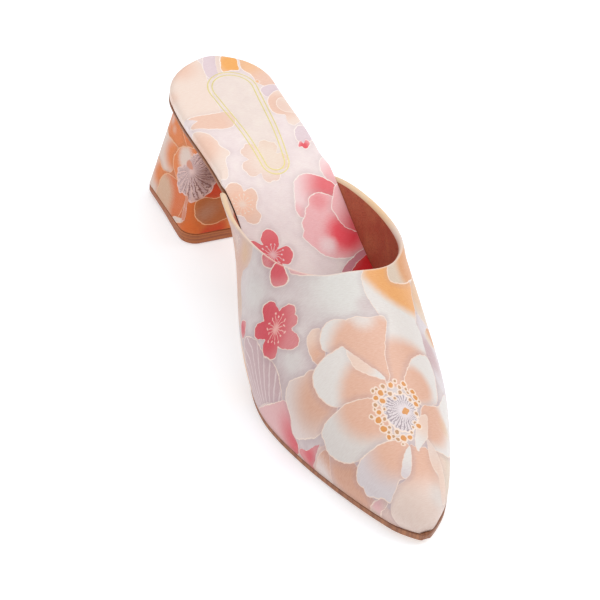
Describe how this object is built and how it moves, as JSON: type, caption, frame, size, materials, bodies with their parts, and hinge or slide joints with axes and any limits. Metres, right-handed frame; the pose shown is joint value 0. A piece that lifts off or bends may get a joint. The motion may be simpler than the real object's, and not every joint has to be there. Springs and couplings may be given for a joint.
{
  "type": "block heel mule",
  "caption": "Pointed slip-on mule for the left foot with a backless one-piece vamp, padded footbed, thin sole and a tall covered block heel.",
  "frame": {"origin": "middle of the bounding box in plan, at floor level", "axes": "toe towards -Y, outer side of the left foot towards +X, up towards +Z"},
  "size_m": [0.0876, 0.2592, 0.0697],
  "materials": {
    "outsole": "matte tan sheet with fine wavy ribs and brown edges",
    "insole": "satin printed covering over padding",
    "upper": "satin printed covering, brown lining inside",
    "heel": "satin printed covering over a moulded block",
    "top_lift": "matte brown, faintly streaked"
  },
  "bodies": {
    "root": {"outsole": "outsole", "insole": "insole", "upper": "upper", "heel": "heel", "top_lift": "top_lift"}
  },
  "joints": []
}
